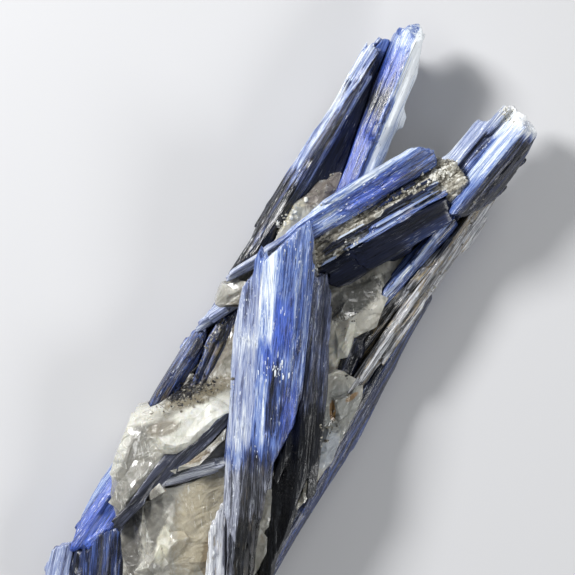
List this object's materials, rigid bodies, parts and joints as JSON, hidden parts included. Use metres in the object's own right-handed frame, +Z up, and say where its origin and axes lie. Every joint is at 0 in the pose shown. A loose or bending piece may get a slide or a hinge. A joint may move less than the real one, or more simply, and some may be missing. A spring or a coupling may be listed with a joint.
{
  "type": "kyanite crystal cluster",
  "caption": "Long cluster of flat blue kyanite blades grown through pale quartz, crossing one another and ending in two free horns, lying on its back.",
  "frame": {"origin": "middle of the underside of the cluster's bounding box, on the surface that it lies on", "axes": "+X along the cluster towards its two free horns, +Y across it towards the long left edge blade, +Z up, from the back that it lies on towards the broad front blade"},
  "size_m": [0.1602, 0.0472, 0.0287],
  "materials": {
    "vivid_kyanite": "glassy and finely striated, medium to vivid blue with pale streaks",
    "pale_kyanite": "pearly and fibrous, white to light blue",
    "navy_kyanite": "glassy, almost black navy blue",
    "slate_kyanite": "striated, grey blue",
    "clear_quartz": "translucent, creamy white to grey, shell-like breaks",
    "granular_quartz": "crumbly and sandy, tan to brown"
  },
  "bodies": {
    "root": {"broad_front_blade": "vivid_kyanite", "dark_side_blade": "navy_kyanite", "upper_cross_blade": "vivid_kyanite", "lower_cross_blade": "navy_kyanite", "seam_lath": "pale_kyanite", "pale_left_horn": "pale_kyanite", "dark_left_horn": "navy_kyanite", "pale_right_horn": "pale_kyanite", "left_edge_blade": "vivid_kyanite", "pale_wedge_lath": "pale_kyanite", "left_lower_blade": "navy_kyanite", "left_inner_blade": "navy_kyanite", "right_edge_blade": "navy_kyanite", "pale_edge_lath": "pale_kyanite", "streaked_inner_lath": "slate_kyanite", "brown_inner_lath": "granular_quartz", "black_stub_lath": "navy_kyanite", "bent_dark_lath": "navy_kyanite", "blue_stray_lath": "slate_kyanite", "blue_foot_blade": "vivid_kyanite", "purple_foot_blade": "navy_kyanite", "pale_foot_blade": "pale_kyanite", "pale_flake_lath": "pale_kyanite", "back_left_blade": "slate_kyanite", "back_middle_blade": "vivid_kyanite", "back_right_blade": "slate_kyanite", "granular_seam": "granular_quartz", "quartz_matrix": "clear_quartz"}
  },
  "joints": []
}
